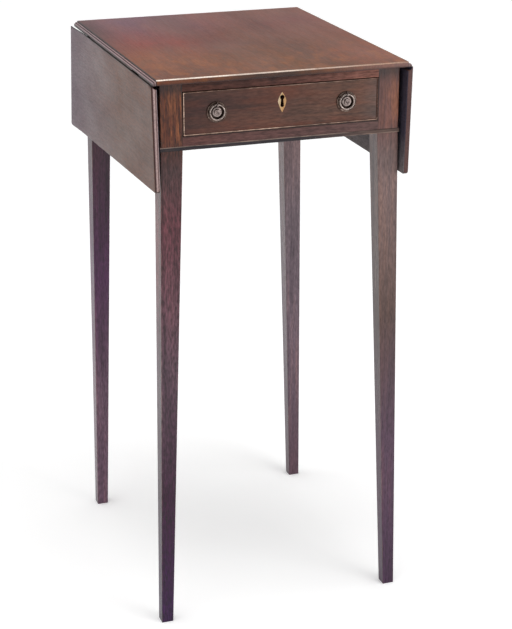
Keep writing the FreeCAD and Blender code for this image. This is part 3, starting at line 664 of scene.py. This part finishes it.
def inlay():
    """Pale boxwood, browned towards one side and its foot, with painted shade, black, inside the keyhole."""
    low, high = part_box("keyhole_escutcheon")
    height = high.z - low.z
    shader = Shader("pale_inlay")
    grain = shader.noise(shader.place, inlay_grain, 41, 3.0)["Fac"]
    browned = shader.maths("ADD", shader.span(shader.x, low.x, high.x, 0.0, 0.6),
                           shader.spread(grain, -0.1, 0.3))
    browned = shader.maths("ADD", browned, shader.span(shader.z, low.z + 0.35 * height, low.z, 0.0, 0.35))
    colour = shader.ramp(browned, ((0.0, seen(240, 222, 190)), (0.45, seen(222, 178, 122)),
                                   (1.0, seen(188, 122, 66))))
    # painted shade on the walls inside the keyhole
    walls = shader.span(shader.facing["Y"], -0.8, -0.5)
    colour = shader.mix(walls, colour, seen(30, 20, 15))
    shader.set(Base_Color=colour, Roughness=0.42, Specular_IOR_Level=0.4)
    shader.bump(grain, inlay_relief)
    return shader.material


def metal(shader, colour, low_rough, high_rough, specks):
    """Ends a metal: its colour and an uneven shine."""
    shader.set(Base_Color=colour, Metallic=1.0, Roughness=shader.spread(specks, low_rough, high_rough))
    shader.bump(specks, metal_relief)
    return shader.material


def plate_brass():
    """The plates: brown tarnish and painted shade in the hollow round the boss, duller to the rim, bright on the
    boss.
    """
    low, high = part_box("drawer_right_ring")
    middle = (low + high) / 2
    plate_low, plate_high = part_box("drawer_right_handle_plate")
    outer = (plate_high.x - plate_low.x) / 2
    shader = Shader("plate_brass")
    across = shader.maths("SUBTRACT", shader.maths("ABSOLUTE", shader.x), middle.x)
    level = shader.maths("SUBTRACT", shader.z, middle.z)
    flat = shader.add("CombineXYZ", {"X": across, "Y": level}).outputs["Vector"]
    radius = shader.add("VectorMath", {0: flat}, operation="LENGTH").outputs["Value"]
    mottle = shader.noise(shader.place, plate_mottle, 51, 5.0, 0.65)["Fac"]
    specks = shader.noise(shader.place, metal_speck, 52, 2.0)["Fac"]
    bright = shader.ramp(mottle, ((0.3, seen(92, 80, 78)), (0.5, seen(138, 124, 120)),
                                  (0.7, seen(190, 176, 170))))
    # near black in the hollow: tarnish and painted shade
    hollow = shader.ramp(mottle, ((0.35, seen(34, 26, 23)), (0.65, seen(52, 41, 36))))
    dull = shader.ramp(mottle, ((0.3, seen(60, 47, 43)), (0.5, seen(96, 79, 72)),
                                (0.7, seen(150, 134, 124))))
    colour = shader.mix(shader.span(radius, boss_radius, boss_radius + boss_bead), bright, hollow)
    colour = shader.mix(shader.span(radius, 0.66 * outer, 0.74 * outer), colour, dull)
    height = shader.maths("SUBTRACT", shader.maths("ABSOLUTE", shader.y), abs(front_face))
    colour = shader.mix(shader.span(height, button_height / 2, 0.6 * button_height), colour, bright)
    return metal(shader, colour, 0.3, 0.5, specks)


def ring_brass():
    """The rings: worn bright and grey."""
    shader = Shader("ring_brass")
    mottle = shader.noise(shader.place, ring_mottle, 55, 5.0, 0.65)["Fac"]
    specks = shader.noise(shader.place, metal_speck, 56, 2.0)["Fac"]
    colour = shader.ramp(mottle, ((0.3, seen(100, 88, 84)), (0.5, seen(156, 142, 136)),
                                  (0.7, seen(208, 196, 188))))
    return metal(shader, colour, 0.24, 0.42, specks)


def iron():
    """Dull old iron with a little rust."""
    shader = Shader("old_iron")
    mottle = shader.noise(shader.place, iron_mottle, 61, 6.0, 0.7)["Fac"]
    colour = shader.ramp(mottle, ((0.35, seen(48, 46, 46)), (0.55, seen(72, 68, 66)),
                                  (0.75, seen(98, 72, 56))))
    shader.set(Base_Color=colour, Metallic=0.8, Roughness=shader.spread(mottle, 0.42, 0.68))
    shader.bump(mottle, iron_relief)
    return shader.material


def finishes():
    """The material of every CAD node."""
    table = {
        "top_board": top_board(), "left_flap": flap(-1), "right_flap": flap(1),
        "front_top_rail": front_top_rail(), "drawer_front": drawer_front(),
        "front_bottom_rail": front_bottom_rail(),
        "back_rail": rail("back_rail", 67.0, seen(96, 60, 52), seen(112, 74, 64)).polish(0.32, 0.5),
    }
    table.update({node: leg(node) for node in leg_runs})
    beads = cock_beads()
    table.update({"drawer_cock_beads": beads, "sham_cock_beads": beads})
    rings = ring_brass()
    by_slot = {"ebonised_wood": ebonised(), "pale_inlay": inlay(), "aged_brass": plate_brass(),
               "old_iron": iron()}
    for place, node in enumerate(sorted(slot_of)):
        if slot_of[node] == "secondary_wood":
            table[node] = bare_wood(node, bare_seed_gap * place)
        elif node.endswith("_ring"):
            table[node] = rings
        else:
            table.setdefault(node, by_slot.get(slot_of[node]))
    return table


def dress(table):
    """Gives every CAD node its material."""
    for node, material in table.items():
        slots = nodes[node].data.materials
        slots.clear()
        slots.append(material)


def new_piece(name, mesh, body, replaced, material):
    """A modelled piece that stands for a CAD node."""
    piece = bpy.data.objects.new(name, mesh)
    bpy.context.scene.collection.objects.link(piece)
    mesh.materials.append(material)
    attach(piece, body)
    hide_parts(replaced)


def finished(form, name, sharp_angle):
    """A mesh from a form, smooth but for its sharp edges."""
    bmesh.ops.recalc_face_normals(form, faces=form.faces)
    mesh = bpy.data.meshes.new(name)
    form.to_mesh(mesh)
    form.free()
    mesh.shade_smooth()
    mesh.set_sharp_from_angle(angle=sharp_angle)
    return mesh


def smooth_step(value, low, high):
    """0 below low, 1 above high, and a soft rise between."""
    share = min(max((value - low) / (high - low), 0.0), 1.0)
    return share * share * (3 - 2 * share)


def cut_rows(form, low, high):
    """Cuts a board into small rectangles, so that it can bend."""
    for row in range(1, flap_rows):
        place = low.lerp(high, row / flap_rows)
        for axis in (y_axis, z_axis):
            normal = Vector((0, 0, 0))
            normal[axis] = 1
            everything = form.verts[:] + form.edges[:] + form.faces[:]
            bmesh.ops.bisect_plane(form, geom=everything, plane_co=place, plane_no=normal)


def aged_flap(node):
    """The node's mesh with the slow twist of the old left flap, which pieces fixed to the flap take too."""
    low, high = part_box("left_flap")
    hinge_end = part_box("left_hinge_flap_leaves")[1].y
    form = bmesh.new()
    form.from_mesh(nodes[node].data)
    bmesh.ops.remove_doubles(form, verts=form.verts, dist=flap_weld)
    if node == "left_flap":
        cut_rows(form, low, high)
    for vertex in form.verts:
        back = (vertex.co.y - low.y) / (high.y - low.y)
        down = max((joint_z - vertex.co.z) / (joint_z - low.z), 0.0)
        curl = flap_curl * (1 - down / 2) * smooth_step(vertex.co.y, hinge_end, high.y)
        vertex.co.x -= flap_twist * back * down + curl
        vertex.co.z += down * (flap_narrowing * (1 - back) - flap_widening * back)
    return finished(form, node + "_aged", flap_crease)


def age_left_flap(table):
    """The left flap and the iron on it."""
    for node in ("left_flap", "left_hinge_flap_leaves", "left_flap_screws"):
        new_piece(node + "_aged", aged_flap(node), "left_flap", node, table[node])


def spin(form, centre, out, profile, steps):
    """Adds a turned shape: pairs of radius and height along out."""
    other = out.cross(sideways)
    turns = [2 * math.pi * step / steps for step in range(steps)]
    rings = []
    for radius, height in profile:
        middle = centre + out * height
        spokes = [sideways * math.cos(turn) + other * math.sin(turn) for turn in turns]
        if radius == 0:
            spokes = [sideways]
        rings.append([form.verts.new(middle + spoke * radius) for spoke in spokes])
    for first, second in zip(rings, rings[1:]):
        for step in range(steps):
            after = (step + 1) % steps
            corners = [first[step % len(first)], first[after % len(first)],
                       second[after % len(second)], second[step % len(second)]]
            form.faces.new(list(dict.fromkeys(corners)))


def ring_of(form, centre, side, other, radius, wire, steps):
    """Adds a ring of wire; wire gives the wire's radius for a turn from the ring's top."""
    normal = side.cross(other)
    angles = [2 * math.pi * step / wire_steps for step in range(wire_steps)]
    loops = []
    for step in range(steps):
        turn = 2 * math.pi * step / steps
        outward = other * math.cos(turn) + side * math.sin(turn)
        middle = centre + outward * radius
        spokes = [outward * math.cos(angle) + normal * math.sin(angle) for angle in angles]
        loops.append([form.verts.new(middle + spoke * wire(turn)) for spoke in spokes])
    for first, second in zip(loops, loops[1:] + loops[:1]):
        for index in range(wire_steps):
            after = (index + 1) % wire_steps
            form.faces.new((first[index], first[after], second[after], second[index]))


def arc(centre_radius, centre_height, size, start, end, steps):
    """Points on an arc of a turned profile; angles in degrees from outward to up."""
    points = []
    for step in range(steps + 1):
        angle = math.radians(start + (end - start) * step / steps)
        points.append((centre_radius + size * math.cos(angle), centre_height + size * math.sin(angle)))
    return points


def plate_profile(radius):
    """The stepped round plate from its middle outwards: dished button, boss, hollow and beaded rim."""
    dish = [(0, button_height - 3 * rim_bead), (dish_share * button_radius, button_height - 2 * rim_bead)]
    button = arc(button_radius - 2 * rim_bead, button_height - 2 * rim_bead, 2 * rim_bead,
                 120, 0, bead_steps)
    cove = arc(button_radius + boss_bead, boss_height + boss_bead, boss_bead, 180, 270, cove_steps)
    boss = arc(boss_radius - boss_bead, boss_height - boss_bead, boss_bead, 80, 0, boss_steps)
    fall = arc(boss_radius + boss_bead, plate_floor + boss_bead, boss_bead, 180, 270, cove_steps)
    rim = arc(radius - rim_bead, plate_floor + rim_bead, rim_bead, 170, 0, bead_steps)
    return dish + button + cove + boss + fall + rim + [(radius, 0), (0, 0)]


def plate_mesh(node, hang, ring_radius, wire):
    """A plate with its shank in the wood and the eye that holds its ring; hang is the ring's middle."""
    low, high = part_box(node)
    front = hang.y < 0
    out = Vector((0, -1, 0)) if front else Vector((0, 1, 0))
    wood_face = front_face if front else back_face
    foot = Vector((hang.x, wood_face, hang.z))
    form = bmesh.new()
    spin(form, foot, out, plate_profile((high.x - low.x) / 2), turned_steps)
    shank_length = abs((high.y if front else low.y) - wood_face)
    shank = [(0, 0), (shank_radius, 0), (shank_radius, shank_length), (0, shank_length)]
    spin(form, foot, -out, shank, turned_steps // 2)
    eye = hang + upward * ring_radius
    eye_radius = wire + eye_gap + eye_wire
    ring_of(form, eye, out, upward, eye_radius, lambda turn: eye_wire, turned_steps // 2)
    reach = abs(eye.y - wood_face) - eye_radius + eye_wire
    stem = [(0, plate_floor), (stem_foot, plate_floor), (stem_foot, collar_share * plate_floor),
            (stem_radius, 2 * plate_floor), (stem_radius, reach), (0, reach)]
    spin(form, Vector((eye.x, wood_face, eye.z)), out, stem, wire_steps)
    return finished(form, node + "_turned", plate_crease)


def ring_mesh(node, hang, ring_radius, wire):
    """A ring of wire that swells towards its foot."""
    def swelling(turn):
        return wire * (1 + ring_swell_share * ((1 - math.cos(turn)) / 2 - 1 / 3))
    form = bmesh.new()
    ring_of(form, hang, sideways, upward, ring_radius, swelling, turned_steps)
    return finished(form, node + "_swelling", ring_crease)


def handle(place, body, table):
    """One handle: a plate on the given body, and the ring that swings in it."""
    plate_node = place + "_handle_plate"
    ring_node = place + "_ring"
    low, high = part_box(ring_node)
    hang = (low + high) / 2
    cad_wire = (high.y - low.y) / 2
    wire = ring_fine_share * cad_wire
    ring_radius = (high.x - low.x) / 2 - cad_wire
    plate = plate_mesh(plate_node, hang, ring_radius, wire)
    new_piece(plate_node + "_turned", plate, body, plate_node, table[plate_node])
    ring = ring_mesh(ring_node, hang, ring_radius, wire)
    new_piece(ring_node + "_swelling", ring, ring_node, ring_node, table[ring_node])


def make_handles(table):
    """The drawer's two handles and the two on the sham drawer at the back."""
    for place, body in (("drawer_left", "drawer"), ("drawer_right", "drawer"),
                        ("back_left", "frame"), ("back_right", "frame")):
        handle(place, body, table)


def shown_ray(tree):
    """1 for rays that show a thing, straight or in a reflection, and 0 for rays that light other things."""
    path = tree.nodes.new("ShaderNodeLightPath")
    total = path.outputs["Is Camera Ray"]
    for kind in ("Is Glossy Ray", "Is Transmission Ray"):
        either = tree.nodes.new("ShaderNodeMath")
        either.operation = "MAXIMUM"
        tree.links.new(total, either.inputs[0])
        tree.links.new(path.outputs[kind], either.inputs[1])
        total = either.outputs[0]
    return total


def make_floor():
    """A white floor that keeps the table's shadow."""
    mesh = bpy.data.meshes.new("floor")
    corners = [(-floor_half, -floor_half), (floor_half, -floor_half), (floor_half, floor_half),
               (-floor_half, floor_half)]
    mesh.from_pydata([(x, y, -floor_drop) for x, y in corners], [], [(0, 1, 2, 3)])
    floor = bpy.data.objects.new("floor", mesh)
    bpy.context.scene.collection.objects.link(floor)
    shader = Shader("pale_floor")
    shown = shown_ray(shader.tree)
    shader.set(Base_Color=shader.mix(shown, floor_bounce, floor_shown))
    shader.set(Roughness=floor_rough, Specular_IOR_Level=0.0)
    shader.set(Emission_Color=white, Emission_Strength=shader.times(shown, floor_glow))
    mesh.materials.append(shader.material)


def make_world():
    """A white backdrop at the horizon that fades to a soft grey ceiling; both give an even light."""
    world = bpy.data.worlds.new("studio")
    bpy.context.scene.world = world
    world.use_nodes = True
    tree = world.node_tree
    background = tree.nodes["Background"]
    background.inputs["Color"].default_value = white
    direction = tree.nodes.new("ShaderNodeTexCoord")
    split = tree.nodes.new("ShaderNodeSeparateXYZ")
    fade = tree.nodes.new("ShaderNodeMapRange")
    fade.inputs["From Min"].default_value = horizon_share
    fade.inputs["From Max"].default_value = zenith_share
    fade.inputs["To Min"].default_value = horizon_strength
    fade.inputs["To Max"].default_value = zenith_strength
    pick = tree.nodes.new("ShaderNodeMix")
    pick.inputs[2].default_value = dome_strength
    tree.links.new(direction.outputs["Generated"], split.inputs["Vector"])
    tree.links.new(split.outputs["Z"], fade.inputs["Value"])
    tree.links.new(shown_ray(tree), pick.inputs[0])
    tree.links.new(fade.outputs["Result"], pick.inputs[3])
    tree.links.new(pick.outputs[0], background.inputs["Strength"])


def add_light(name, kind, place, target):
    """A lamp at a place, turned to a target."""
    data = bpy.data.lights.new(name, kind)
    lamp = bpy.data.objects.new(name, data)
    lamp.location = place
    lamp.rotation_euler = (target - place).to_track_quat("-Z", "Y").to_euler()
    bpy.context.scene.collection.objects.link(lamp)
    return data


def make_lights():
    """A broad light overhead, a strip that brightens the front edge of the top, and a fill at the right."""
    above = Vector((-math.tan(sun_side), -math.tan(sun_lean), 1.0))
    sun = add_light("overhead", "SUN", above, Vector())
    sun.energy = sun_strength
    sun.angle = sun_angle
    strip = add_light("strip", "AREA", strip_place, strip_target)
    strip.shape = "RECTANGLE"
    strip.size = strip_length
    strip.size_y = strip_width
    strip.energy = strip_power
    fill = add_light("fill", "AREA", fill_place, fill_target)
    fill.size = fill_size
    fill.energy = fill_power


def make_camera():
    """The camera at the photograph's angle."""
    data = bpy.data.cameras.new("camera")
    data.sensor_width = sensor_size
    data.lens = sensor_size * focal_pixels / image_height
    camera = bpy.data.objects.new("camera", data)
    camera.location = camera_place
    camera.rotation_euler = (math.pi / 2 + camera_pitch, 0.0, -camera_yaw)
    bpy.context.scene.collection.objects.link(camera)
    bpy.context.scene.camera = camera


bpy.context.scene.view_settings.view_transform = "Standard"
make_camera()
make_world()
make_lights()
make_floor()
material_of = finishes()
dress(material_of)
age_left_flap(material_of)
make_handles(material_of)
